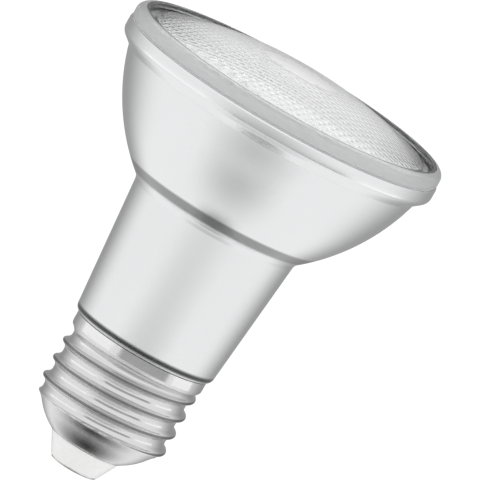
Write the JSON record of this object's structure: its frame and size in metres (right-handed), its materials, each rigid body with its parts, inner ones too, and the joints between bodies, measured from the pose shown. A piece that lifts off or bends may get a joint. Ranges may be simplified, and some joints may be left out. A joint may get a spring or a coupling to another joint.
{
  "type": "par spotlight bulb",
  "caption": "Reflector spotlight bulb: a silvered glass bowl and neck on a screw cap, closed by a clear patterned glass lens that spreads the beam.",
  "frame": {"origin": "end face of the centre contact, on the beam axis", "axes": "+Z along the beam axis from the cap to the lens; the driver board lies across X"},
  "size_m": [0.0635, 0.0634, 0.084],
  "materials": {
    "lens_glass": "clear pressed glass",
    "mirror_glass": "glass silvered inside",
    "cap_nickel": "bright nickel plate",
    "insulator_white": "moulded white",
    "contact_nickel": "plated plate",
    "cement": "cured cement",
    "seal_grey": "silicone bead",
    "spreader_aluminium": "pressed sheet",
    "board_white": "white solder mask",
    "led_phosphor": "filled package",
    "screw_steel": "zinc plate",
    "lead_red": "insulated wire",
    "lead_black": "insulated wire",
    "lead_brown": "insulated wire",
    "lead_blue": "insulated wire",
    "solder_tin": "solder",
    "sleeve_white": "moulded white",
    "board_green": "solder mask",
    "capacitor_black": "shrink sleeve",
    "film_yellow": "dipped",
    "ferrite_grey": "sintered",
    "winding_copper": "enamelled wire",
    "varistor_blue": "dipped",
    "resistor_green": "coated",
    "package_black": "moulded epoxy",
    "chip_ceramic": "fired"
  },
  "bodies": {
    "root": {"front_lens": "lens_glass", "lens_seal": "seal_grey", "reflector_shell": "mirror_glass", "cap_cement": "cement", "screw_shell": "cap_nickel", "cap_insulator": "insulator_white", "centre_contact": "contact_nickel", "heat_spreader": "spreader_aluminium", "led_board": "board_white", "led_packages": "led_phosphor", "board_screws": "screw_steel", "led_lead_positive": "lead_red", "led_lead_negative": "lead_black", "lead_solder": "solder_tin", "driver_sleeve": "sleeve_white", "driver_board": "board_green", "smoothing_capacitor": "capacitor_black", "film_capacitor": "film_yellow", "choke_core": "ferrite_grey", "choke_winding": "winding_copper", "surge_varistor": "varistor_blue", "fusible_resistor": "resistor_green", "bridge_rectifier": "package_black", "driver_chip": "package_black", "chip_components": "chip_ceramic", "live_lead": "lead_brown", "neutral_lead": "lead_blue"}
  },
  "joints": []
}
